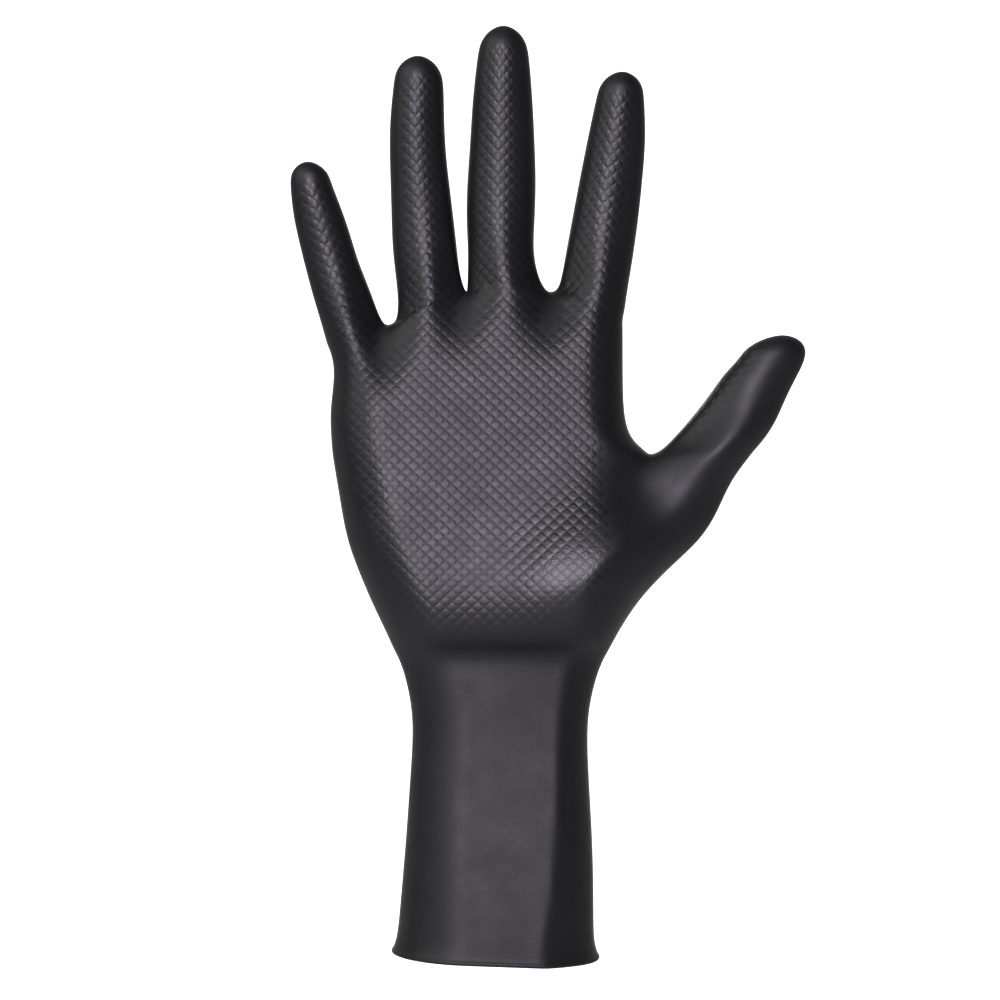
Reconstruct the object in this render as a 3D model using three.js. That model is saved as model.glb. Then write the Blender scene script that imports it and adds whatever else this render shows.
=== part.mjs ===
// Nitrile exam glove, in the shape it has on a right hand.
// Millimetres. +Z runs up through the fingers, the palm faces -Y and the thumb is towards +X.
// The origin is the centre of the cuff's mouth.
import * as THREE from 'three';

// Film
const wall = 1;
const rimRadius = 0.9;

// Cuff, from its mouth to the narrowest place of the wrist
const cuffLength = 73;
const mouthWidth = 67;
const mouthDepth = 50;
const mouthSlant = 1.2;
const wristWidth = 56.2;
const wristDepth = 36;

// Share of each width that lies on the ulnar side of the cuff's axis
const mouthUlnarShare = 0.509;
const wristUlnarShare = 0.482;
const palmUlnarShare = 0.57;

// Palm, from the wrist to the crotch between ring and middle finger
const palmLength = 141.5;
const palmWidth = 94;
const palmDepth = 31;
const heelRise = 9;

// Thumb side, where the film leaves the palm: reach from the cuff's axis to the thumb's outer edge at its
// crotch, lie in front of the palm, share of the palm's depth that it loses, and where it starts to do so,
// as a share of the palm's radial width
const thumbReach = 82.5;
const thumbForward = 7;
const thumbThinning = 0.22;
const thumbSwingStart = 0.6;

// How squarely the back of the hand turns into its sides: 2 is a round corner
const backTurn = 2;

// Crotches: how fast an edge runs into its crotch from the thumb, and from the finger on the crotch's ulnar
// and thumb side, how far the film's crest stands above it, and the share of a digit's width over which the
// palm's section turns into the digit's round one
const thumbCrotchRound = 4.6;
const ulnarCrotchRound = 4.2;
const radialCrotchRound = 1.8;
const crestRise = 1.2;
const rootBlendShare = 0.8;

// Settling of the stretched film round each crotch: its width and height as shares of the palm's width and
// length, and how many times each point moves halfway to its neighbours
const settleWide = 0.12;
const settleTall = 0.1;
const settleRounds = 4;

// Mesh: edges across each finger, edges round each side of a ring and along the rim's bead, and how far a
// ring's front and back stop short of its side
const fingerEdges = 5;
const sideEdges = 3;
const beadEdges = 4;
const sideInset = 1.4;

// Rim's bead: angles where it leaves the film's outer face and comes back to its inner face
const beadStart = 15;
const beadEnd = -195;

// How the cuff opens from the wrist, 0, to the mouth, 1. Rounds are shares of the mouth's width.
const cuffSections = [
  { up: 0, ulnar: 1, thumb: 1, deep: 1, ulnarRound: 0.36, thumbRound: 0.26, turn: 1.15 },
  { up: 0.03, ulnar: 0.95, thumb: 0.74, deep: 0.96, ulnarRound: 0.36, thumbRound: 0.26, turn: 1.15 },
  { up: 0.07, ulnar: 0.79, thumb: 0.62, deep: 0.91, ulnarRound: 0.36, thumbRound: 0.25, turn: 1.15 },
  { up: 0.12, ulnar: 0.69, thumb: 0.53, deep: 0.86, ulnarRound: 0.35, thumbRound: 0.24, turn: 1.15 },
  { up: 0.2, ulnar: 0.6, thumb: 0.52, deep: 0.78, ulnarRound: 0.34, thumbRound: 0.22, turn: 1.15 },
  { up: 0.35, ulnar: 0.46, thumb: 0.49, deep: 0.62, ulnarRound: 0.32, thumbRound: 0.2, turn: 1.15 },
  { up: 0.5, ulnar: 0.34, thumb: 0.41, deep: 0.46, ulnarRound: 0.3, thumbRound: 0.18, turn: 1.15 },
  { up: 0.65, ulnar: 0.19, thumb: 0.27, deep: 0.31, ulnarRound: 0.29, thumbRound: 0.16, turn: 1.15 },
  { up: 0.8, ulnar: 0.12, thumb: 0.11, deep: 0.16, ulnarRound: 0.28, thumbRound: 0.15, turn: 1.15 },
  { up: 1, ulnar: 0, thumb: 0, deep: 0, ulnarRound: 0.28, thumbRound: 0.14, turn: 1.2 },
];

// How the palm grows from the wrist, 0, to its full reach, 1. Rounds are shares of the mouth's width.
const palmSections = [
  { up: 0, ulnar: 0, thumb: 0, deep: 0, heel: 0, ulnarRound: 0.28, thumbRound: 0.14, turn: 1.2 },
  { up: 0.1, ulnar: 0.06, thumb: 0.037, deep: 0.15, heel: 0, ulnarRound: 0.28, thumbRound: 0.15, turn: 1.25 },
  { up: 0.16, ulnar: 0.165, thumb: 0.095, deep: 0.23, heel: 0, ulnarRound: 0.28, thumbRound: 0.17, turn: 1.35 },
  { up: 0.178, ulnar: 0.21, thumb: 0.12, deep: 0.26, heel: 0.04, ulnarRound: 0.28, thumbRound: 0.18, turn: 1.4 },
  { up: 0.19, ulnar: 0.242, thumb: 0.138, deep: 0.28, heel: 0.22, ulnarRound: 0.28, thumbRound: 0.19, turn: 1.5 },
  { up: 0.21, ulnar: 0.288, thumb: 0.165, deep: 0.31, heel: 0.56, ulnarRound: 0.28, thumbRound: 0.21, turn: 1.6 },
  { up: 0.24, ulnar: 0.361, thumb: 0.21, deep: 0.36, heel: 0.82, ulnarRound: 0.29, thumbRound: 0.24, turn: 1.75 },
  { up: 0.275, ulnar: 0.45, thumb: 0.27, deep: 0.43, heel: 0.95, ulnarRound: 0.3, thumbRound: 0.28, turn: 1.9 },
  { up: 0.32, ulnar: 0.558, thumb: 0.362, deep: 0.52, heel: 1, ulnarRound: 0.31, thumbRound: 0.33, turn: 1.9 },
  { up: 0.4, ulnar: 0.728, thumb: 0.573, deep: 0.62, heel: 0.9, ulnarRound: 0.31, thumbRound: 0.38, turn: 1.8 },
  { up: 0.45, ulnar: 0.81, thumb: 0.703, deep: 0.7, heel: 0.81, ulnarRound: 0.3, thumbRound: 0.38, turn: 1.8 },
  { up: 0.5, ulnar: 0.86, thumb: 0.776, deep: 0.78, heel: 0.72, ulnarRound: 0.29, thumbRound: 0.36, turn: 1.8 },
  { up: 0.55, ulnar: 0.905, thumb: 0.837, deep: 0.86, heel: 0.63, ulnarRound: 0.28, thumbRound: 0.31, turn: 1.9 },
  { up: 0.6, ulnar: 0.95, thumb: 0.915, deep: 0.93, heel: 0.55, ulnarRound: 0.27, thumbRound: 0.25, turn: 2 },
  { up: 0.64, ulnar: 0.98, thumb: 1, deep: 1, heel: 0.49, ulnarRound: 0.26, thumbRound: 0.22, turn: 2 },
  { up: 0.72, ulnar: 1, thumb: 1, deep: 1.15, heel: 0.36, ulnarRound: 0.25, thumbRound: 0.2, turn: 2 },
  { up: 0.82, ulnar: 0.962, thumb: 1, deep: 1.4, heel: 0.21, ulnarRound: 0.23, thumbRound: 0.19, turn: 2 },
  { up: 0.9, ulnar: 1.057, thumb: 1, deep: 1.65, heel: 0.1, ulnarRound: 0.21, thumbRound: 0.18, turn: 2 },
  { up: 1, ulnar: 1.1, thumb: 1, deep: 2, heel: 0, ulnarRound: 0.2, thumbRound: 0.17, turn: 2 },
];

// Crotches. across is a share of the palm's width from the ulnar edge, up a share of its length from the
// wrist, and pinch is how much of the film's depth each one takes away, over its spread and reach.
const crotches = [
  { name: 'pinky_ring', across: 0.188, up: 0.922, pinch: 0.75, spread: 0.06, reach: 0.075 },
  { name: 'ring_middle', across: 0.467, up: 1, pinch: 0.75, spread: 0.055, reach: 0.07 },
  { name: 'middle_index', across: 0.763, up: 0.998, pinch: 0.75, spread: 0.06, reach: 0.07 },
];
const thumbCrotch = { across: 1.103, up: 0.6275, pinch: 0.5, spread: 0.12, reach: 0.15 };

// Heights of the palm's top row at its two outer edges, as shares of its length
const ulnarShoulder = 0.862;
const thumbShoulder = 0.933;

// Swellings and hollows of the palm. Places and sizes are shares of the palm's width and length, rise is a
// share of its depth, and turn leans a swelling's height towards the thumb, in degrees.
const swellings = [
  { name: 'ball_of_thumb', across: 0.86, up: 0.37, wide: 0.2, tall: 0.2, turn: 42, rise: 0.17 },
  { name: 'thumb_ridge', across: 1.1, up: 0.475, wide: 0.08, tall: 0.16, turn: 42, rise: 0.055 },
];

// Digits. across and up place the axis at its root, as shares of the palm's width and length, and capLean is
// the share of the lean that the rounded tip keeps. Sections give each side's distance from the axis as a
// share of half the width, and the thickness as a share of depth.
const pinky = {
  name: 'pinky', length: 52.4, width: 17, depth: 15.5, lean: -15, capLean: 0.5, bow: 5,
  across: 0.065, up: 0.922,
  sections: [
    { up: 0, left: 1.01, right: 1.05, thick: 1 },
    { up: 0.2, left: 1.06, right: 1.08, thick: 1.02 },
    { up: 0.4, left: 1.05, right: 0.95, thick: 1 },
    { up: 0.6, left: 1.01, right: 0.91, thick: 0.97 },
    { up: 0.8, left: 0.88, right: 0.8, thick: 0.88 },
    { up: 0.86, left: 0.78, right: 0.75, thick: 0.82 },
  ],
};
const ring = {
  name: 'ring', length: 75.1, width: 20, depth: 18, lean: -2.6, capLean: 0.5, bow: 7,
  across: 0.336, up: 1,
  sections: [
    { up: 0, left: 1.01, right: 1.01, thick: 1 },
    { up: 0.2, left: 1.11, right: 0.96, thick: 1.02 },
    { up: 0.4, left: 1.08, right: 0.86, thick: 1 },
    { up: 0.6, left: 1.05, right: 0.76, thick: 0.95 },
    { up: 0.8, left: 0.95, right: 0.76, thick: 0.88 },
    { up: 0.88, left: 0.82, right: 0.78, thick: 0.8 },
  ],
};
const middle = {
  name: 'middle', length: 84.6, width: 21, depth: 19, lean: 0.3, capLean: 0.5, bow: 8,
  across: 0.585, up: 1,
  sections: [
    { up: 0, left: 1.02, right: 1.06, thick: 1 },
    { up: 0.2, left: 1.05, right: 0.98, thick: 1 },
    { up: 0.35, left: 1.1, right: 1.05, thick: 1.02 },
    { up: 0.5, left: 1.01, right: 1.02, thick: 0.99 },
    { up: 0.7, left: 0.93, right: 0.94, thick: 0.93 },
    { up: 0.88, left: 0.77, right: 0.81, thick: 0.8 },
  ],
};
const index = {
  name: 'index', length: 70.3, width: 21, depth: 18.5, lean: 7.4, capLean: 0.5, bow: 7,
  across: 0.9, up: 0.998,
  sections: [
    { up: 0, left: 1.03, right: 1.03, thick: 1 },
    { up: 0.2, left: 0.98, right: 1.08, thick: 1.02 },
    { up: 0.4, left: 0.91, right: 1.08, thick: 1 },
    { up: 0.6, left: 0.83, right: 1.02, thick: 0.95 },
    { up: 0.8, left: 0.73, right: 0.905, thick: 0.87 },
    { up: 0.88, left: 0.68, right: 0.77, thick: 0.8 },
  ],
};
const thumb = {
  name: 'thumb', length: 38, width: 20.6, depth: 20, lean: 33.4, capLean: 0.7, bow: 4,
  across: 1.291, up: 0.6275,
  sections: [
    { up: 0, left: 1.08, right: 1.08, thick: 1 },
    { up: 0.15, left: 1.08, right: 1.17, thick: 1.02 },
    { up: 0.3, left: 1.04, right: 1.15, thick: 1 },
    { up: 0.5, left: 0.99, right: 1.02, thick: 0.98 },
    { up: 0.7, left: 0.96, right: 0.92, thick: 0.92 },
    { up: 0.78, left: 0.88, right: 0.87, thick: 0.88 },
  ],
};
const fingers = [pinky, ring, middle, index];

// Rows of the mesh, as shares of the length that each group covers
const cuffRows = [0.06, 0.12, 0.22, 0.37, 0.55, 0.77];
const lowerPalmRows = [
  0, 0.12, 0.22, 0.27, 0.303, 0.338, 0.38, 0.43, 0.49, 0.56, 0.63, 0.7, 0.78, 0.86, 0.93, 1,
];
const upperPalmRows = [0.06, 0.13, 0.22, 0.34, 0.48, 0.64, 0.81, 0.92, 1];
const fingerRows = [0.02, 0.06, 0.12, 0.21, 0.33, 0.48, 0.64, 0.82, 1];
const thumbRows = [0.09, 0.19, 0.3, 0.42, 0.56, 0.7, 0.85, 1];
const tipAngles = [26, 50, 72];

// Lengths that follow from the sizes above
const palmLeft = -palmUlnarShare * palmWidth;
const palmRight = palmLeft + palmWidth;
const wristLeft = -wristUlnarShare * wristWidth;
const wristRight = wristLeft + wristWidth;
const mouthLeft = -mouthUlnarShare * mouthWidth;
const mouthRight = mouthLeft + mouthWidth;
const rimTop = rimRadius + Math.sqrt(rimRadius ** 2 - (wall / 2) ** 2);
const acrossPalm = (share) => palmLeft + share * palmWidth;
const upPalm = (share) => cuffLength + share * palmLength;
const thumbCrotchX = acrossPalm(thumbCrotch.across);
const thumbCrotchZ = upPalm(thumbCrotch.up);
const mix = (from, to, share) => from + (to - from) * share;

// How far the film above the thumb's crotch still follows it, from 1 down to 0
const thumbFade = (z) => Math.exp(-Math.max(0, z - thumbCrotchZ) / thumbCrotchRound);

// Reads a table of rows as smooth curves, and gives every column's value at any height
function smoothTable(rows) {
  const columns = Object.keys(rows[0]).filter((column) => column !== 'up');
  const heights = rows.map((row) => row.up);
  const values = rows.flatMap((row) => columns.map((column) => row[column]));
  const curve = new THREE.CubicInterpolant(heights, values, columns.length);
  return (up) => {
    const found = curve.evaluate(THREE.MathUtils.clamp(up, heights[0], heights.at(-1)));
    return Object.fromEntries(columns.map((column, index) => [column, found[index]]));
  };
}

const cuffAt = smoothTable(cuffSections);
const palmAt = smoothTable(palmSections);

// Edges, depths and corner rounds of the cuff and palm at one height, with or without the thumb's share
function sectionAt(z, withThumb) {
  const inCuff = z < cuffLength;
  const row = inCuff ? cuffAt(z / cuffLength) : palmAt((z - cuffLength) / palmLength);
  const left = inCuff ? mix(wristLeft, mouthLeft, row.ulnar) : mix(wristLeft, palmLeft, row.ulnar);
  const thumbSide = inCuff ? mix(wristRight, mouthRight, row.thumb) : mix(wristRight, thumbReach, row.thumb);
  const depth = inCuff ? mix(wristDepth, mouthDepth, row.deep) : mix(wristDepth, palmDepth, row.deep);
  const heel = inCuff ? 0 : row.heel * heelRise;
  const opened = withThumb ? 1 : 1 - thumbFade(z);
  return {
    left,
    right: withThumb ? thumbSide : mix(palmRight, thumbCrotchX, thumbFade(z)),
    front: depth / 2 + heel,
    back: depth / 2,
    leftRound: row.ulnarRound * mouthWidth,
    rightRound: Math.max(sideInset, row.thumbRound * mouthWidth * opened),
    turn: row.turn,
  };
}

// Bell-shaped share, 1 in the middle of a swelling or crotch and 0 well outside it
const bell = (x, z, wide, tall) => Math.exp(-((x / wide) ** 2) - (z / tall) ** 2);

// Share of the film's depth that a crotch takes away at a place
function pinchOf(crotch, x, z) {
  const beside = x - acrossPalm(crotch.across);
  const below = z - upPalm(crotch.up);
  return crotch.pinch * bell(beside, below, crotch.spread * palmWidth, crotch.reach * palmLength);
}

// Share of the film's depth that all the crotches leave at a place
function depthLeft(x, z) {
  const byFingers = crotches.reduce((share, crotch) => share * (1 - pinchOf(crotch, x, z)), 1);
  return byFingers * (1 - pinchOf(thumbCrotch, x, z) * thumbFade(z));
}

// Sum of the palm's swellings and hollows at a place
function swellingAt(x, z) {
  return swellings.reduce((sum, swelling) => {
    const beside = x - acrossPalm(swelling.across);
    const above = z - upPalm(swelling.up);
    const turn = THREE.MathUtils.degToRad(swelling.turn);
    const aside = beside * Math.cos(turn) - above * Math.sin(turn);
    const along = above * Math.cos(turn) + beside * Math.sin(turn);
    const share = bell(aside, along, swelling.wide * palmWidth, swelling.tall * palmLength);
    return sum + swelling.rise * palmDepth * share;
  }, 0);
}

// Share of the way from the palm out to the thumb's side
function thumbShare(x, z) {
  const outward = THREE.MathUtils.smoothstep(x, thumbSwingStart * palmRight, thumbReach);
  const upward = THREE.MathUtils.smoothstep(z, cuffLength, thumbCrotchZ);
  return outward * upward;
}

// Point of the outer film on the palm face, side -1, or on the back of the hand, side 1
function filmPoint(x, z, side, withThumb) {
  const section = sectionAt(z, withThumb);
  const turn = side < 0 ? section.turn : backTurn;
  const toLeft = THREE.MathUtils.clamp(1 - (x - section.left) / section.leftRound, 0, 1);
  const toRight = THREE.MathUtils.clamp(1 - (section.right - x) / section.rightRound, 0, 1);
  const edge = Math.sqrt((1 - toLeft ** 2) * (1 - toRight ** turn));
  const full = side < 0 ? section.front + swellingAt(x, z) : section.back;
  const depth = full * depthLeft(x, z) * (1 - thumbThinning * thumbShare(x, z));
  return new THREE.Vector3(x, side * depth * edge - thumbForward * thumbShare(x, z), z);
}

// Outer film: its points, and triangles that run anticlockwise seen from outside
const points = [];
const triangles = [];
const addPoint = (point) => points.push(point) - 1;

function joinRings(lower, upper) {
  lower.forEach((corner, index) => {
    const next = (index + 1) % lower.length;
    triangles.push([corner, lower[next], upper[next]]);
    triangles.push([corner, upper[next], upper[index]]);
  });
}

// Points between a front and a back point, pushed out into a rounded side or up into a crest
function sidePoints(front, back, push) {
  return Array.from({ length: sideEdges - 1 }, (_, index) => {
    const share = (index + 1) / sideEdges;
    const roundness = Math.sin(Math.PI * share) / Math.sin(Math.PI / sideEdges);
    return front.clone().lerp(back, share).addScaledVector(push, roundness);
  });
}

// One ring of the cuff or palm. Stops are the shares of its width where each digit's columns begin and end.
function addPalmRing(stops, heightAt, withThumb) {
  const leftEnd = sectionAt(heightAt(palmLeft), withThumb).left + sideInset;
  const rightEnd = sectionAt(heightAt(palmRight), withThumb).right - sideInset;
  const shares = stops.slice(1).flatMap((stop, index) => {
    const from = stops[index];
    return Array.from({ length: fingerEdges }, (_, edge) => mix(from, stop, edge / fingerEdges));
  });
  const places = [...shares, 1].map((share) => mix(leftEnd, rightEnd, share));
  const front = places.map((x) => filmPoint(x, heightAt(x), -1, withThumb));
  const back = places.map((x) => filmPoint(x, heightAt(x), 1, withThumb)).reverse();
  const outward = new THREE.Vector3(sideInset, 0, 0);
  return {
    front: front.map(addPoint),
    right: sidePoints(front.at(-1), back[0], outward).map(addPoint),
    back: back.map(addPoint),
    left: sidePoints(back.at(-1), front[0], outward.clone().negate()).map(addPoint),
  };
}

const loopOf = (ring) => [...ring.front, ...ring.right, ...ring.back, ...ring.left];

// Parts of a ring between its crotches, with a crest of new points over each crotch
function splitRing(ring, cuts) {
  const last = ring.front.length - 1;
  const crests = cuts.map((column) => {
    const front = points[ring.front[column]];
    const back = points[ring.back[last - column]];
    return sidePoints(front, back, new THREE.Vector3(0, 0, crestRise)).map(addPoint);
  });
  const bounds = [0, ...cuts, last];
  return bounds.slice(1).map((to, index) => {
    const from = bounds[index];
    return {
      front: ring.front.slice(from, to + 1),
      right: to === last ? ring.right : crests[index],
      back: ring.back.slice(last - to, last - from + 1),
      left: from === 0 ? ring.left : [...crests[index - 1]].reverse(),
    };
  });
}

// Film of one digit, from the ring where it leaves the palm to its closed tip
function addDigit(ring, digit, rows, leftCrotchRound, rightCrotchRound) {
  const root = loopOf(ring).map((index) => points[index]);
  const box = new THREE.Box3().setFromPoints(root);
  const middle = box.getCenter(new THREE.Vector3());
  const half = box.getSize(new THREE.Vector3()).multiplyScalar(0.5);
  const leftRoot = root.reduce((low, point) => (point.x < low.x ? point : low));
  const rightRoot = root.reduce((high, point) => (point.x > high.x ? point : high));
  const firstAngle = Math.PI * (1.5 - fingerEdges / root.length);

  const slope = Math.tan(THREE.MathUtils.degToRad(digit.lean));
  const halfWidth = (digit.width / 2) * Math.hypot(1, slope);
  const rootZ = upPalm(digit.up);
  const tipShare = digit.sections.at(-1).up;
  const tipZ = rootZ + tipShare * digit.length;
  const tipHeight = (1 - tipShare) * digit.length;
  const rootBlend = rootBlendShare * digit.width;
  const sectionOf = smoothTable(digit.sections);
  const edgesAt = (z) => {
    const section = sectionOf((z - rootZ) / digit.length);
    const axis = acrossPalm(digit.across) + (z - rootZ) * slope;
    return { left: axis - halfWidth * section.left, right: axis + halfWidth * section.right };
  };
  const leftFlare = leftRoot.x - edgesAt(leftRoot.z).left;
  const rightFlare = rightRoot.x - edgesAt(rightRoot.z).right;
  const fadeOver = (length, z) => Math.exp(-Math.max(0, z) / length);

  const pointAt = (corner, z, scale) => {
    const start = root[corner];
    const angle = firstAngle + (corner * 2 * Math.PI) / root.length;
    const up = Math.max(0, (z - rootZ) / digit.length);
    const bodyZ = Math.min(z, tipZ);
    const edges = edgesAt(bodyZ);
    const left = edges.left + leftFlare * fadeOver(leftCrotchRound, z - leftRoot.z);
    const right = edges.right + rightFlare * fadeOver(rightCrotchRound, z - rightRoot.z);
    const rootShare = Math.exp(-((Math.max(0, z - start.z) / rootBlend) ** 2));
    const thick = mix((digit.depth / 2) * sectionOf(up).thick, half.y, rootShare);
    const across = mix(Math.cos(angle), (start.x - middle.x) / half.x, rootShare);
    const through = mix(Math.sin(angle), (start.y - middle.y) / half.y, rootShare);
    const centre = (left + right) / 2 + (z - bodyZ) * slope * digit.capLean;
    return new THREE.Vector3(
      centre + (scale * across * (right - left)) / 2,
      middle.y + scale * through * thick - digit.bow * up ** 2,
      z,
    );
  };

  let lower = loopOf(ring);
  const climb = (heightOf, scale) => {
    const upper = root.map((start, corner) => addPoint(pointAt(corner, heightOf(start), scale)));
    joinRings(lower, upper);
    lower = upper;
  };
  rows.forEach((share) => climb((start) => mix(start.z, tipZ, share), 1));
  tipAngles.map(THREE.MathUtils.degToRad).forEach((angle) => {
    climb(() => tipZ + tipHeight * Math.sin(angle), Math.cos(angle));
  });
  const apex = addPoint(pointAt(0, tipZ + tipHeight, 0));
  lower.forEach((corner, index) => triangles.push([corner, lower[(index + 1) % lower.length], apex]));
}

// Column stops of a ring: even at the mouth, and on the crotches once the ring reaches them
function palmStops(z) {
  const ease = THREE.MathUtils.smoothstep(z, 0, upPalm(1));
  const inner = crotches.map((crotch, index) => mix((index + 1) / (crotches.length + 1), crotch.across, ease));
  return [0, ...inner, 1];
}

// The same below the thumb's crotch, where the last digit's columns are the thumb's
function lowerStops(z) {
  const ease = THREE.MathUtils.smoothstep(z, 0, splitZ);
  const section = sectionAt(splitZ, true);
  const evenShare = (crotches.length + 1) / (crotches.length + 2);
  const splitShare = (thumbCrotchX - section.left) / (section.right - section.left);
  const palmShare = mix(evenShare, splitShare, ease);
  return [...palmStops(z).map((stop) => stop * palmShare), 1];
}

// Cuff and lower palm, ring by ring up to the thumb's crotch
const splitZ = thumbCrotchZ - crestRise;
const lowerHeights = [
  rimTop,
  ...cuffRows.map((share) => share * cuffLength),
  ...lowerPalmRows.map((share) => mix(cuffLength, splitZ, share)),
];
const slantAt = (x, z) => {
  const side = THREE.MathUtils.clamp((2 * x) / mouthWidth, -1, 1);
  return mouthSlant * side * Math.max(0, 1 - z / cuffLength);
};
const lowerRings = lowerHeights.map((z) => addPalmRing(lowerStops(z), (x) => z - slantAt(x, z), true));
lowerRings.slice(1).forEach((ring, index) => joinRings(loopOf(lowerRings[index]), loopOf(ring)));
const thumbColumn = fingerEdges * (crotches.length + 1);
const [palmRing, thumbRing] = splitRing(lowerRings.at(-1), [thumbColumn]);
addDigit(thumbRing, thumb, thumbRows, thumbCrotchRound, thumbCrotchRound);

// Upper palm, whose rings rise into the arch of the finger roots
const archCurve = new THREE.CubicInterpolant(
  [palmLeft, ...crotches.map((crotch) => acrossPalm(crotch.across)), palmRight],
  [upPalm(ulnarShoulder), ...crotches.map((crotch) => upPalm(crotch.up) - crestRise), upPalm(thumbShoulder)],
  1,
);
const archAt = (x) => archCurve.evaluate(THREE.MathUtils.clamp(x, palmLeft, palmRight))[0];
let topRing = palmRing;
upperPalmRows.forEach((share) => {
  const ring = addPalmRing(palmStops(mix(splitZ, upPalm(1), share)), (x) => mix(splitZ, archAt(x), share), false);
  joinRings(loopOf(topRing), loopOf(ring));
  topRing = ring;
});
const fingerColumns = crotches.map((crotch, index) => fingerEdges * (index + 1));
splitRing(topRing, fingerColumns).forEach((ring, index) => {
  addDigit(ring, fingers[index], fingerRows, radialCrotchRound, ulnarCrotchRound);
});

// Film geometry from points and triangles
function filmGeometry(corners, faces) {
  const geometry = new THREE.BufferGeometry().setFromPoints(corners);
  geometry.setIndex(faces.flat());
  geometry.computeVertexNormals();
  return geometry;
}

// Stretched film: round each crotch its depth settles evenly between the neighbouring points
const neighbours = points.map(() => new Set());
triangles.forEach((corners) => {
  corners.forEach((corner, index) => neighbours[corner].add(corners[(index + 1) % corners.length]));
});
const settleShares = points.map((point) => {
  const shares = [...crotches, thumbCrotch].map((crotch) => {
    const beside = point.x - acrossPalm(crotch.across);
    const above = point.z - upPalm(crotch.up);
    return bell(beside, above, settleWide * palmWidth, settleTall * palmLength);
  });
  return Math.max(...shares);
});
for (let round = 0; round < settleRounds; round += 1) {
  const depths = points.map((point, index) => {
    const near = [...neighbours[index]].map((other) => points[other].y);
    const middle = near.reduce((sum, depth) => sum + depth, 0) / near.length;
    return mix(point.y, middle, settleShares[index] / 2);
  });
  points.forEach((point, index) => point.setY(depths[index]));
}

// Inner face: the outer one moved inwards by the wall, and turned round
const outerNormals = filmGeometry(points, triangles).getAttribute('normal');
const outerCount = points.length;
const innerPoints = points.map((point, index) => {
  const normal = new THREE.Vector3().fromBufferAttribute(outerNormals, index);
  return point.clone().addScaledVector(normal, -wall);
});
innerPoints.forEach(addPoint);
triangles.push(...triangles.map(([a, b, c]) => [a + outerCount, c + outerCount, b + outerCount]));

// Rolled rim: a bead of film round the mouth, from the outer face under the edge to the inner face
const outerMouth = loopOf(lowerRings[0]);
const innerMouth = outerMouth.map((index) => index + outerCount);
const beadAngles = Array.from({ length: beadEdges + 1 }, (_, edge) => mix(beadStart, beadEnd, edge / beadEdges));
let beadRing = outerMouth;
beadAngles.map(THREE.MathUtils.degToRad).forEach((angle) => {
  const ring = outerMouth.map((outer, corner) => {
    const centre = points[outer].clone().lerp(points[innerMouth[corner]], 0.5);
    centre.z = points[outer].z - rimTop + rimRadius;
    const outward = points[outer].clone().sub(points[innerMouth[corner]]).setZ(0).normalize();
    const reach = rimRadius * Math.cos(angle);
    const rise = rimRadius * Math.sin(angle);
    return addPoint(centre.addScaledVector(outward, reach).add(new THREE.Vector3(0, 0, rise)));
  });
  joinRings(ring, beadRing);
  beadRing = ring;
});
joinRings(innerMouth, beadRing);

const nitrile = new THREE.MeshStandardMaterial({ color: 0x1d1c1f, roughness: 0.45, metalness: 0 });
const film = new THREE.Mesh(filmGeometry(points, triangles), nitrile);
film.name = 'glove';

const glove = new THREE.Group();
glove.add(film);

export default glove;
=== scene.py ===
import math

import bmesh
import bpy
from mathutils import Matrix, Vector
from mathutils.bvhtree import BVHTree


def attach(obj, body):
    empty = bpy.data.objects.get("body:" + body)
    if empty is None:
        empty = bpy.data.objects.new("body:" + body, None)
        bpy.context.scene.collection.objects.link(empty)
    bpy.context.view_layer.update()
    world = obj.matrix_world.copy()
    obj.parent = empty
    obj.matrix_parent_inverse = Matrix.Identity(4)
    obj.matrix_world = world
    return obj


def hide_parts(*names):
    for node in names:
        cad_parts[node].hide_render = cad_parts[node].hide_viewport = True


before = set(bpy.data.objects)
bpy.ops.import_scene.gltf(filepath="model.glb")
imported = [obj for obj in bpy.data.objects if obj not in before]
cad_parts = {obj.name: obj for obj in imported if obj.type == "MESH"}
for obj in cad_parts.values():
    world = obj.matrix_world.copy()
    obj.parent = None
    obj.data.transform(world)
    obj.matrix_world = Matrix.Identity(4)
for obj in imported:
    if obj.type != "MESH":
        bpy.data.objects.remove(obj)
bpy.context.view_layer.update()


# Film. The real glove is one coat of black nitrile latex, dipped on a hand-shaped former and peeled off it.
# The hand inside stretches it smooth over knuckles, heel and ball of the thumb, and pulls it thin and hollow
# between the fingers. Its mouth is rolled into a bead.
FILM_LEVELS = 2  # subdivisions of the dipped skin
WELD_DISTANCE = 1e-6
QUAD_ANGLE = math.radians(40)  # largest bend between two triangles that are joined into a quad
QUAD_SKEW = math.radians(60)  # how far a joined quad's corners may be from square
# Rounding lowers each corner, so it is raised beforehand by this share of its height over its neighbours
ROUNDING = 0.62

glove_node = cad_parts["glove"]
skin = bmesh.new()
skin.from_mesh(glove_node.data)
bmesh.ops.remove_doubles(skin, verts=skin.verts, dist=WELD_DISTANCE)
bmesh.ops.join_triangles(
    skin,
    faces=skin.faces,
    angle_face_threshold=QUAD_ANGLE,
    angle_shape_threshold=QUAD_SKEW,
)
skin.normal_update()
corners = [(vert.co.copy(), vert.normal.copy()) for vert in skin.verts]
bmesh.ops.smooth_vert(
    skin,
    verts=skin.verts,
    factor=ROUNDING,
    use_axis_x=True,
    use_axis_y=True,
    use_axis_z=True,
)
for vert, (corner, outward) in zip(skin.verts, corners):
    vert.co = corner + outward * outward.dot(corner - vert.co)
for face in skin.faces:
    face.smooth = True
skin_mesh = bpy.data.meshes.new("film")
skin.to_mesh(skin_mesh)
skin.free()
film = bpy.data.objects.new("film", skin_mesh)
bpy.context.scene.collection.objects.link(film)
rounding = film.modifiers.new("rounding", "SUBSURF")
rounding.levels = FILM_LEVELS
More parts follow.
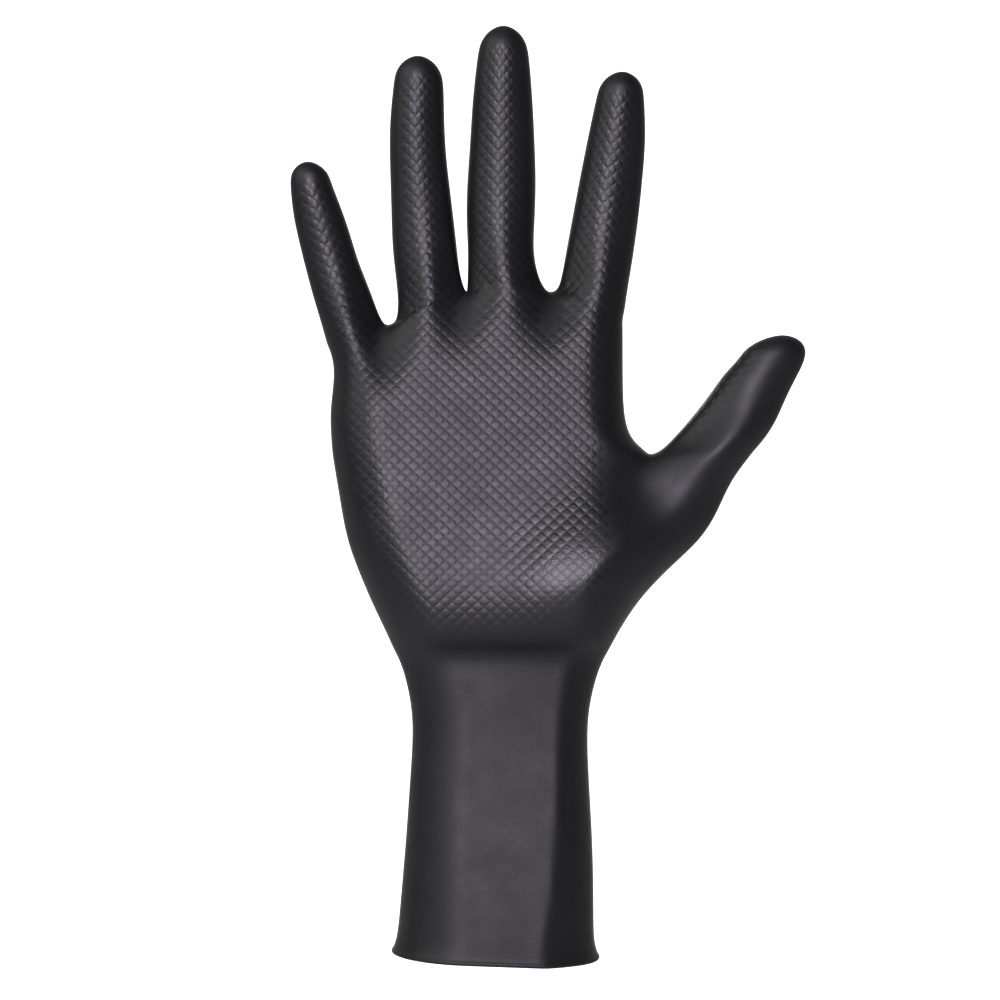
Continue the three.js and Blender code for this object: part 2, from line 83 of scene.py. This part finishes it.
rounding.render_levels = FILM_LEVELS


class Field:
    """A shader socket, or a group of nodes behind it, that can be used in an arithmetic expression."""

    def __init__(self, tree, socket):
        self.tree = tree
        self.socket = socket

    def math(self, operation, *values):
        return node(self.tree, "ShaderNodeMath", {"operation": operation}, dict(enumerate(values)))["Value"]

    def __add__(self, other):
        return self.math("ADD", self, other)

    __radd__ = __add__

    def __mul__(self, other):
        return self.math("MULTIPLY", self, other)

    __rmul__ = __mul__

    def __sub__(self, other):
        return self.math("SUBTRACT", self, other)

    def __rsub__(self, other):
        return self.math("SUBTRACT", other, self)


def node(tree, kind, settings, inputs):
    """Adds a node, sets it up, fills or links its inputs, and gives the outputs in use by name."""
    made = tree.nodes.new(kind)
    for name, value in settings.items():
        setattr(made, name, value)
    for name, value in inputs.items():
        if isinstance(value, Field):
            tree.links.new(value.socket, made.inputs[name])
        else:
            made.inputs[name].default_value = value
    return {output.name: Field(tree, output) for output in made.outputs if output.enabled}


FIRST_COLOUR = 6  # place of the first colour among the sockets of a mix of colours
SECOND_COLOUR = 7
NITRILE_DARK = (0.0045, 0.0044, 0.0046, 1)
NITRILE_LIGHT = (0.0075, 0.0070, 0.0085, 1)
NITRILE_IOR = 1.5
MOTTLE = {"Scale": 120, "Detail": 4.0, "Roughness": 0.6}  # blotches of about 8 mm
DRIFT = {"Scale": 32, "Detail": 2.0, "Roughness": 0.5}  # slow change from region to region
GRAIN = {"Scale": 1500, "Detail": 2.0, "Roughness": 0.5}  # fine orange-peel of the dipped surface
MOTTLE_DULLER = 0.2  # roughness that mottle and drift add where they are strongest
DRIFT_DULLER = 0.08
MOTTLE_IN_TONE = 0.6  # shares in the blend of the two tones
DRIFT_IN_TONE = 0.4
MOTTLE_IN_RELIEF = 0.35  # shares in the height of the fine relief
GRAIN_IN_RELIEF = 0.65
RELIEF_STRENGTH = 0.5
RELIEF_DEPTH = 0.00016
CUFF_DULLER = 0.04  # more roughness on the cuff, which isn't stretched
CUFF_FADE = (0.095, 0.125)  # heights over which that ends
TAUT_PLACE = (0.025, -0.024, 0.126)  # top of the ball of the thumb, where the film is stretched taut
TAUT_REACH = (0.004, 0.026)  # distances over which the extra gloss there fades
TAUT_GLOSS = 0.10
FILM_ROUGHNESS = 0.35


def fading(tree, value, reach):
    """One up to the near end of a reach, falling to nothing at its far end."""
    return node(
        tree,
        "ShaderNodeMapRange",
        {"interpolation_type": "SMOOTHSTEP"},
        {"Value": value, "From Min": reach[0], "From Max": reach[1], "To Min": 1.0, "To Max": 0.0},
    )["Result"]


def nitrile_material(name, gloss_roughness):
    """Black nitrile, a little uneven in tone and gloss."""
    material = bpy.data.materials.new(name)
    material.use_nodes = True
    tree = material.node_tree
    tree.nodes.clear()
    place = node(tree, "ShaderNodeTexCoord", {}, {})["Object"]
    mottle = node(tree, "ShaderNodeTexNoise", {}, {"Vector": place, **MOTTLE})["Fac"]
    drift = node(tree, "ShaderNodeTexNoise", {}, {"Vector": place, **DRIFT})["Fac"]
    grain = node(tree, "ShaderNodeTexNoise", {}, {"Vector": place, **GRAIN})["Fac"]
    up = node(tree, "ShaderNodeSeparateXYZ", {}, {"Vector": place})["Z"]
    on_cuff = fading(tree, up, CUFF_FADE)
    away = node(tree, "ShaderNodeVectorMath", {"operation": "DISTANCE"}, {0: place, 1: TAUT_PLACE})["Value"]
    taut = fading(tree, away, TAUT_REACH)
    unevenness = mottle * MOTTLE_DULLER + drift * DRIFT_DULLER
    blend = mottle * MOTTLE_IN_TONE + drift * DRIFT_IN_TONE
    tone = node(
        tree,
        "ShaderNodeMix",
        {"data_type": "RGBA"},
        {"Factor": blend, FIRST_COLOUR: NITRILE_DARK, SECOND_COLOUR: NITRILE_LIGHT},
    )["Result"]
    relief = mottle * MOTTLE_IN_RELIEF + grain * GRAIN_IN_RELIEF
    bump = node(
        tree,
        "ShaderNodeBump",
        {},
        {"Height": relief, "Strength": RELIEF_STRENGTH, "Distance": RELIEF_DEPTH},
    )["Normal"]
    surface = node(
        tree,
        "ShaderNodeBsdfPrincipled",
        {},
        {
            "Base Color": tone,
            "Roughness": gloss_roughness + unevenness + on_cuff * CUFF_DULLER - taut * TAUT_GLOSS,
            "IOR": NITRILE_IOR,
            "Normal": bump,
        },
    )["BSDF"]
    node(tree, "ShaderNodeOutputMaterial", {}, {"Surface": surface})
    return material


skin_mesh.materials.append(nitrile_material("nitrile film", FILM_ROUGHNESS))
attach(film, "root")
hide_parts("glove")


# Grip scales. The former's fingers and palm are etched all over with small diamonds, so the dipped film
# carries raised scales about 4 mm apart, in offset rows. They fade out at the palm's edges, on the sides and
# tips of the fingers, under the webs and on the ball of the thumb, and the thumb has a strip of its own.
MM = 0.001

# Form of one scale and of the pattern, in millimetres
SCALE_PITCH = 4.0  # across, between neighbours in a row
ROW_PITCH = 3.72  # along the finger, between every second row
SCALE_CORNERS = 8  # four points of a diamond, and the middles of its four sides
SCALE_FOOT = 0.96  # reach of a scale's corners at its foot, as a share of its place in the pattern
SCALE_TOP = 0.54  # the same at its top, as a share of the foot
FOOT_FULLNESS = 0.78  # how far the sides stand out, where 0.71 gives straight ones and 1 a round foot
TOP_FULLNESS = 0.85
SUNK = 0.02  # depth of the foot under the film
HEIGHT = 0.09  # of the top's edge over the film
CROWN_INSET = 0.3  # width of the slope between the top's edge and its crown
CROWN = 0.02  # height of that slope
DISH = 0.012  # depth of the hollow in the crown
FADE = 3.4  # width of the border over which the scales sink into the film
SMALLEST_RISE = 0.15  # share of that border without any scale
SCALE_ROUGHNESS = 0.27

# Fingers from the little one to the index finger: place across, heights of root and tip, lean in degrees,
# forward bow, radius, and reach of the scales to both sides
FINGERS = (
    {"x": -47.5, "root": 203.5, "tip": 255.9, "lean": -15.0, "bow": 5, "radius": 8.3, "reach": (7.4, 8.6)},
    {"x": -22.0, "root": 214.5, "tip": 289.6, "lean": -2.6, "bow": 7, "radius": 10.2, "reach": (8.8, 10.6)},
    {"x": 1.4, "root": 214.5, "tip": 299.1, "lean": 0.3, "bow": 8, "radius": 10.6, "reach": (10.4, 10.6)},
    {"x": 31.0, "root": 214.2, "tip": 284.5, "lean": 7.4, "bow": 7, "radius": 10.4, "reach": (10.4, 7.4)},
)
FINGERS_X = [entry["x"] for entry in FINGERS]
WEBS_X = (-35.9, -9.7, 18.1)  # middles of the webs between them
TIP_MARGIN = 5.5  # smooth end of each finger
TURN_LENGTH = 22.0  # over which the rows turn from the palm's direction to the finger's
ROUND_FROM = 9  # half the length over which flat rows on the palm become rows round a finger
SIDES_FROM = (-10, 4)  # heights from a finger's root between which its sides begin to end the scales
PALM_SIDE_ROOM = 40  # room that the fingers' sides leave below those heights, more than any fade needs

# Edge of the scales on the palm, round from its lower left corner
PALM_EDGE = (
    (-21, 103), (-29, 113), (-38, 126), (-44, 142), (-47, 158), (-48.5, 175), (-49, 192), (-52, 205),
    (-75, 262), (-75, 310), (75, 310), (75, 262), (36, 214), (34, 196), (33.5, 178), (34, 150), (35.5, 136),
    (35, 124), (31, 117), (20, 109), (8, 103.5), (-8, 102),
)
# Smooth patches under the webs: middle, half width, half height, turn, and the least room in the middle
WEB_PATCHES = (
    {"x": -35.0, "z": 198.0, "wide": 2.4, "tall": 5.0, "turn": 32, "least": -9},
    {"x": -9.8, "z": 207.0, "wide": 2.5, "tall": 5.4, "turn": 0, "least": -9},
    {"x": 16.4, "z": 207.0, "wide": 2.7, "tall": 5.4, "turn": 0, "least": -9},
)
# The same for the ball of the thumb, where the stretched film's scales are faint
BALL_PATCH = {"x": 26.5, "z": 127.0, "wide": 7.0, "tall": 14.0, "turn": 50, "least": 1.4}

# Thumb: place and height of its root, lean, forward bow, length and radius. Its scaled strip: where it
# starts and ends along the thumb, how far its middle is turned from the palm's side to the index finger's,
# and half its width
THUMB = {"x": 67.75, "y": -7.0, "root": 161.8, "lean": 33.4, "bow": 4, "length": 38, "radius": 10.3}
STRIP = {"from": 3.5, "to": 38.5, "turn": -76, "reach": 9.6}


def smooth_step(low, high, value):
    """Nothing up to the lower value, one from the higher, and a smooth rise between them."""
    share = min(1.0, max(0.0, (value - low) / (high - low)))
    return share * share * (3 - 2 * share)


def between(value, places, amounts):
    """Amount at a value, read in straight lines between the places of a row."""
    if value <= places[0]:
        return amounts[0]
    for index in range(1, len(places)):
        if value <= places[index]:
            share = (value - places[index - 1]) / (places[index] - places[index - 1])
            return amounts[index - 1] + share * (amounts[index] - amounts[index - 1])
    return amounts[-1]


def finger_of(across):
    """The finger between whose webs a place lies."""
    return FINGERS[sum(across > web for web in WEBS_X)]


def inside_edge(across, up, edge):
    """Distance from a place in to the nearest side of an outline, negative outside it."""
    nearest = math.inf
    inside = False
    for (x0, z0), (x1, z1) in zip(edge, edge[1:] + edge[:1]):
        run, rise = x1 - x0, z1 - z0
        share = ((across - x0) * run + (up - z0) * rise) / (run * run + rise * rise)
        share = min(1.0, max(0.0, share))
        nearest = min(nearest, math.hypot(across - x0 - share * run, up - z0 - share * rise))
        if (z0 > up) != (z1 > up) and across < x0 + (up - z0) / rise * run:
            inside = not inside
    return nearest if inside else -nearest


def patch_room(patch, across, up):
    """How far a place lies outside a patch, but no less than the patch's least room."""
    turn = math.radians(patch["turn"])
    x, z = across - patch["x"], up - patch["z"]
    wide = (x * math.cos(turn) - z * math.sin(turn)) / patch["wide"]
    tall = (x * math.sin(turn) + z * math.cos(turn)) / patch["tall"]
    return max(patch["least"], (math.hypot(wide, tall) - 1) * patch["wide"])


def room_on_hand(across, up):
    """How far a place lies inside the scaled zone of palm and fingers."""
    finger = finger_of(across)
    beside = across - finger["x"]
    on_finger = smooth_step(finger["root"] + SIDES_FROM[0], finger["root"] + SIDES_FROM[1], up)
    side_room = (finger["reach"][0] + beside) if beside < 0 else (finger["reach"][1] - beside)
    room = [
        inside_edge(across, up, PALM_EDGE),
        side_room + PALM_SIDE_ROOM * (1 - on_finger),
        finger["tip"] - TIP_MARGIN - up,
    ]
    room.extend(patch_room(patch, across, up) for patch in WEB_PATCHES)
    return min(room)


def room_on_palm(across, up):
    """The same on the palm's face alone."""
    return min(room_on_hand(across, up), patch_room(BALL_PATCH, across, up))


def room_on_thumb(across, up):
    """How far a place lies inside the strip on the thumb."""
    return min(STRIP["reach"] - abs(across), up - STRIP["from"], STRIP["to"] - up)


bpy.context.view_layer.update()
film_tree = BVHTree.FromObject(film, bpy.context.evaluated_depsgraph_get())
MOST_FACES = 4  # that a ray meets before it leaves the film
PAST_FACE = 1e-5  # step past a face, in metres


def outer_face(start, direction):
    """Place and normal where a ray from inside the hollow leaves the film."""
    origin = start.copy()
    for _ in range(MOST_FACES):
        hit, normal, _, _ = film_tree.ray_cast(origin, direction)
        if hit is None:
            return None
        if normal.dot(direction) > 0:
            return hit, normal
        origin = hit + direction * PAST_FACE
    return None


def on_hand(across, up, scale_across, face):
    """Place and normal on the film of a place in the pattern. Face is -1 on the palm, 1 on the back."""
    finger = finger_of(scale_across)
    slope = between(across, FINGERS_X, [math.tan(math.radians(entry["lean"])) for entry in FINGERS])
    pivot = between(across, FINGERS_X, [entry["root"] for entry in FINGERS])
    past = min(1.0, max(0.0, (up - pivot) / TURN_LENGTH + 0.5))
    run = TURN_LENGTH * past * past / 2 + max(0.0, up - pivot - TURN_LENGTH / 2)
    beside = across - finger["x"]
    palm_start = Vector((across + slope * run, 0, up - slope * past * beside))
    palm_way = Vector((0, face, 0))

    lean = math.radians(finger["lean"])
    angle = beside / finger["radius"]
    share = max(0.0, (up - finger["root"]) / (finger["tip"] - finger["root"]))
    finger_start = Vector((finger["x"] + math.tan(lean) * run, -finger["bow"] * share * share, up))
    outward = math.sin(angle)
    finger_way = Vector((math.cos(lean) * outward, face * math.cos(angle), -math.sin(lean) * outward))

    turned = smooth_step(finger["root"] - ROUND_FROM, finger["root"] + ROUND_FROM, up)
    start = palm_start.lerp(finger_start, turned) * MM
    way = palm_way.lerp(finger_way, turned).normalized()
    return outer_face(start, way)


def on_thumb(across, up):
    """Place and normal on the thumb of a place in its strip, where up runs along the thumb."""
    lean = math.radians(THUMB["lean"])
    angle = math.radians(STRIP["turn"]) + across / THUMB["radius"]
    bow = THUMB["bow"] * (up * math.cos(lean) / THUMB["length"]) ** 2
    start = Vector((THUMB["x"] + up * math.sin(lean), THUMB["y"] - bow, THUMB["root"] + up * math.cos(lean)))
    outward = math.sin(angle)
    way = Vector((math.cos(lean) * outward, -math.cos(angle), -math.sin(lean) * outward))
    return outer_face(start * MM, way)


# One scale, a low diamond. The edges of its foot, out of sight in the film, stay sharp, so that the
# underside doesn't tilt the shading of its sides
OFF_AXIS = 0.1  # a corner further than this from both axes is the middle of a side
scale = bmesh.new()
bmesh.ops.create_cone(
    scale,
    cap_ends=True,
    segments=SCALE_CORNERS,
    radius1=SCALE_FOOT / 2,
    radius2=SCALE_FOOT * SCALE_TOP / 2,
    depth=SUNK + HEIGHT,
)
sides = [vert for vert in scale.verts if min(abs(vert.co.x), abs(vert.co.y)) > OFF_AXIS]
foot_sides = [vert for vert in sides if vert.co.z < 0]
top_sides = [vert for vert in sides if vert.co.z > 0]
bmesh.ops.scale(scale, vec=(FOOT_FULLNESS, FOOT_FULLNESS, 1), verts=foot_sides)
bmesh.ops.scale(scale, vec=(TOP_FULLNESS, TOP_FULLNESS, 1), verts=top_sides)
bmesh.ops.scale(scale, vec=(SCALE_PITCH, ROW_PITCH, 1), verts=scale.verts)
bmesh.ops.translate(scale, vec=(0, 0, (HEIGHT - SUNK) / 2), verts=scale.verts)
crown = max(scale.faces, key=lambda face: face.calc_center_median().z)
bmesh.ops.inset_region(scale, faces=[crown], thickness=CROWN_INSET, depth=CROWN)
crown = max(scale.faces, key=lambda face: face.calc_center_median().z)
bmesh.ops.poke(scale, faces=[crown], offset=-DISH)
for face in scale.faces:
    face.smooth = True
for edge in scale.edges:
    edge.smooth = max(vert.co.z for vert in edge.verts) > 0
scale_mesh = bpy.data.meshes.new("scale")
scale.to_mesh(scale_mesh)
scale.free()


def scale_pattern(name, columns, rows, room_at, place_at):
    """Scales in offset rows, each laid on the film with its foot in it, lower towards the zone's edge."""
    scales = bmesh.new()
    row_mesh = bpy.data.meshes.new("row of scales")
    for row in rows:
        row_scales = bmesh.new()
        row_scales.from_mesh(scale_mesh)
        first = row_scales.verts[:] + row_scales.edges[:] + row_scales.faces[:]
        for column in columns:
            across = (column + 0.5 * (row % 2)) * SCALE_PITCH
            up = row * ROW_PITCH / 2
            room = room_at(across, up)
            if room < SMALLEST_RISE * FADE:
                continue
            rise = smooth_step(0, FADE, room)
            parts = bmesh.ops.duplicate(row_scales, geom=first)["geom"]
            laid = [part for part in parts if isinstance(part, bmesh.types.BMVert)]
            found = [place_at(across + vert.co.x, up + vert.co.y, across) for vert in laid]
            if None in found:
                bmesh.ops.delete(row_scales, geom=laid, context="VERTS")
                continue
            for vert, (foot, normal) in zip(laid, found):
                lift = vert.co.z * rise if vert.co.z > 0 else vert.co.z
                vert.co = foot + normal * lift * MM
        bmesh.ops.delete(row_scales, geom=first[:len(scale_mesh.vertices)], context="VERTS")
        row_scales.to_mesh(row_mesh)
        row_scales.free()
        scales.from_mesh(row_mesh)
    bpy.data.meshes.remove(row_mesh)
    bmesh.ops.recalc_face_normals(scales, faces=scales.faces)
    mesh = bpy.data.meshes.new(name)
    scales.to_mesh(mesh)
    scales.free()
    mesh.materials.append(scale_nitrile)
    piece = bpy.data.objects.new(name, mesh)
    bpy.context.scene.collection.objects.link(piece)
    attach(piece, "root")


scale_nitrile = nitrile_material("nitrile scales", SCALE_ROUGHNESS)
HAND_COLUMNS = range(-20, 16)
HAND_ROWS = range(52, 170)
THUMB_COLUMNS = range(-4, 4)
THUMB_ROWS = range(0, 30)
scale_pattern(
    "grip_scales_palm",
    HAND_COLUMNS,
    HAND_ROWS,
    room_on_palm,
    lambda across, up, scale_across: on_hand(across, up, scale_across, -1),
)
scale_pattern(
    "grip_scales_back",
    HAND_COLUMNS,
    HAND_ROWS,
    room_on_hand,
    lambda across, up, scale_across: on_hand(across, up, scale_across, 1),
)
scale_pattern(
    "grip_scales_thumb",
    THUMB_COLUMNS,
    THUMB_ROWS,
    room_on_thumb,
    lambda across, up, scale_across: on_thumb(across, up),
)


# Studio. A white backdrop far behind the glove, a grey wall behind that, and a pale floor well below. The
# key softbox stands a little left of the camera and above it. Weaker fills stand at the left and at the
# right, and one hangs overhead.
CLOTH_ROUGHNESS = 0.9
UPRIGHT = (math.radians(90), 0, 0)


def stage_sheet(name, size, place, turn, grey, glow):
    """A square sheet of grey cloth, with some light of its own."""
    sheet = bmesh.new()
    bmesh.ops.create_grid(sheet, x_segments=1, y_segments=1, size=size / 2)
    mesh = bpy.data.meshes.new(name)
    sheet.to_mesh(mesh)
    sheet.free()
    piece = bpy.data.objects.new(name, mesh)
    piece.location = place
    piece.rotation_euler = turn
    bpy.context.scene.collection.objects.link(piece)
    finish = bpy.data.materials.new(name)
    finish.use_nodes = True
    surface = finish.node_tree.nodes["Principled BSDF"]
    surface.inputs["Base Color"].default_value = (grey, grey, grey, 1)
    surface.inputs["Roughness"].default_value = CLOTH_ROUGHNESS
    surface.inputs["Emission Color"].default_value = (1, 1, 1, 1)
    surface.inputs["Emission Strength"].default_value = glow
    mesh.materials.append(finish)


stage_sheet("floor", 6.0, (0, 0, -0.3), (0, 0, 0), 0.75, 0.0)
stage_sheet("backdrop", 1.3, (0, 1.5, 0.15), UPRIGHT, 0.8, 1.2)
stage_sheet("surround", 7.0, (0, 1.7, 0.15), UPRIGHT, 0.3, 0.25)

ROOM_GREY = 0.06  # of the dim room round the studio
world = bpy.data.worlds.new("studio")
bpy.context.scene.world = world
world.use_nodes = True
world.node_tree.nodes["Background"].inputs["Color"].default_value = (ROOM_GREY, ROOM_GREY, ROOM_GREY, 1)


def softbox(name, width, place, aim, power, tint):
    """A square softbox aimed at a point."""
    lamp = bpy.data.lights.new(name, "AREA")
    lamp.shape = "SQUARE"
    lamp.size = width
    lamp.energy = power
    lamp.color = tint
    piece = bpy.data.objects.new(name, lamp)
    piece.location = place
    piece.rotation_euler = (Vector(aim) - Vector(place)).to_track_quat("-Z", "Y").to_euler()
    bpy.context.scene.collection.objects.link(piece)


softbox("key", 0.7, (-0.26, -1.42, 0.48), (0, 0, 0.15), 16.5, (1.0, 0.95, 1.10))
softbox("left fill", 1.2, (-1.15, -0.6, 0.85), (0, 0, 0.18), 7.0, (1.0, 1.0, 0.98))
softbox("right fill", 1.2, (1.25, -0.4, 0.3), (0, 0, 0.15), 0.5, (1.0, 1.0, 1.0))
softbox("top fill", 1.2, (-0.2, -0.3, 1.6), (0, 0, 0.25), 1.2, (1.0, 1.0, 1.0))

bpy.context.scene.view_settings.view_transform = "Standard"
bpy.context.scene.view_settings.look = "None"

# The camera stands 1 m away, about level with the glove's middle, and sees 323 mm across at that distance
SENSOR_WIDTH = 36
VIEW_WIDTH = 0.323
CAMERA_PLACE = (0.00097, -1.0, 0.1473)

camera = bpy.data.cameras.new("camera")
camera.sensor_width = SENSOR_WIDTH
camera.lens = SENSOR_WIDTH / VIEW_WIDTH
viewer = bpy.data.objects.new("camera", camera)
viewer.location = CAMERA_PLACE
viewer.rotation_euler = UPRIGHT
bpy.context.scene.collection.objects.link(viewer)
bpy.context.scene.camera = viewer
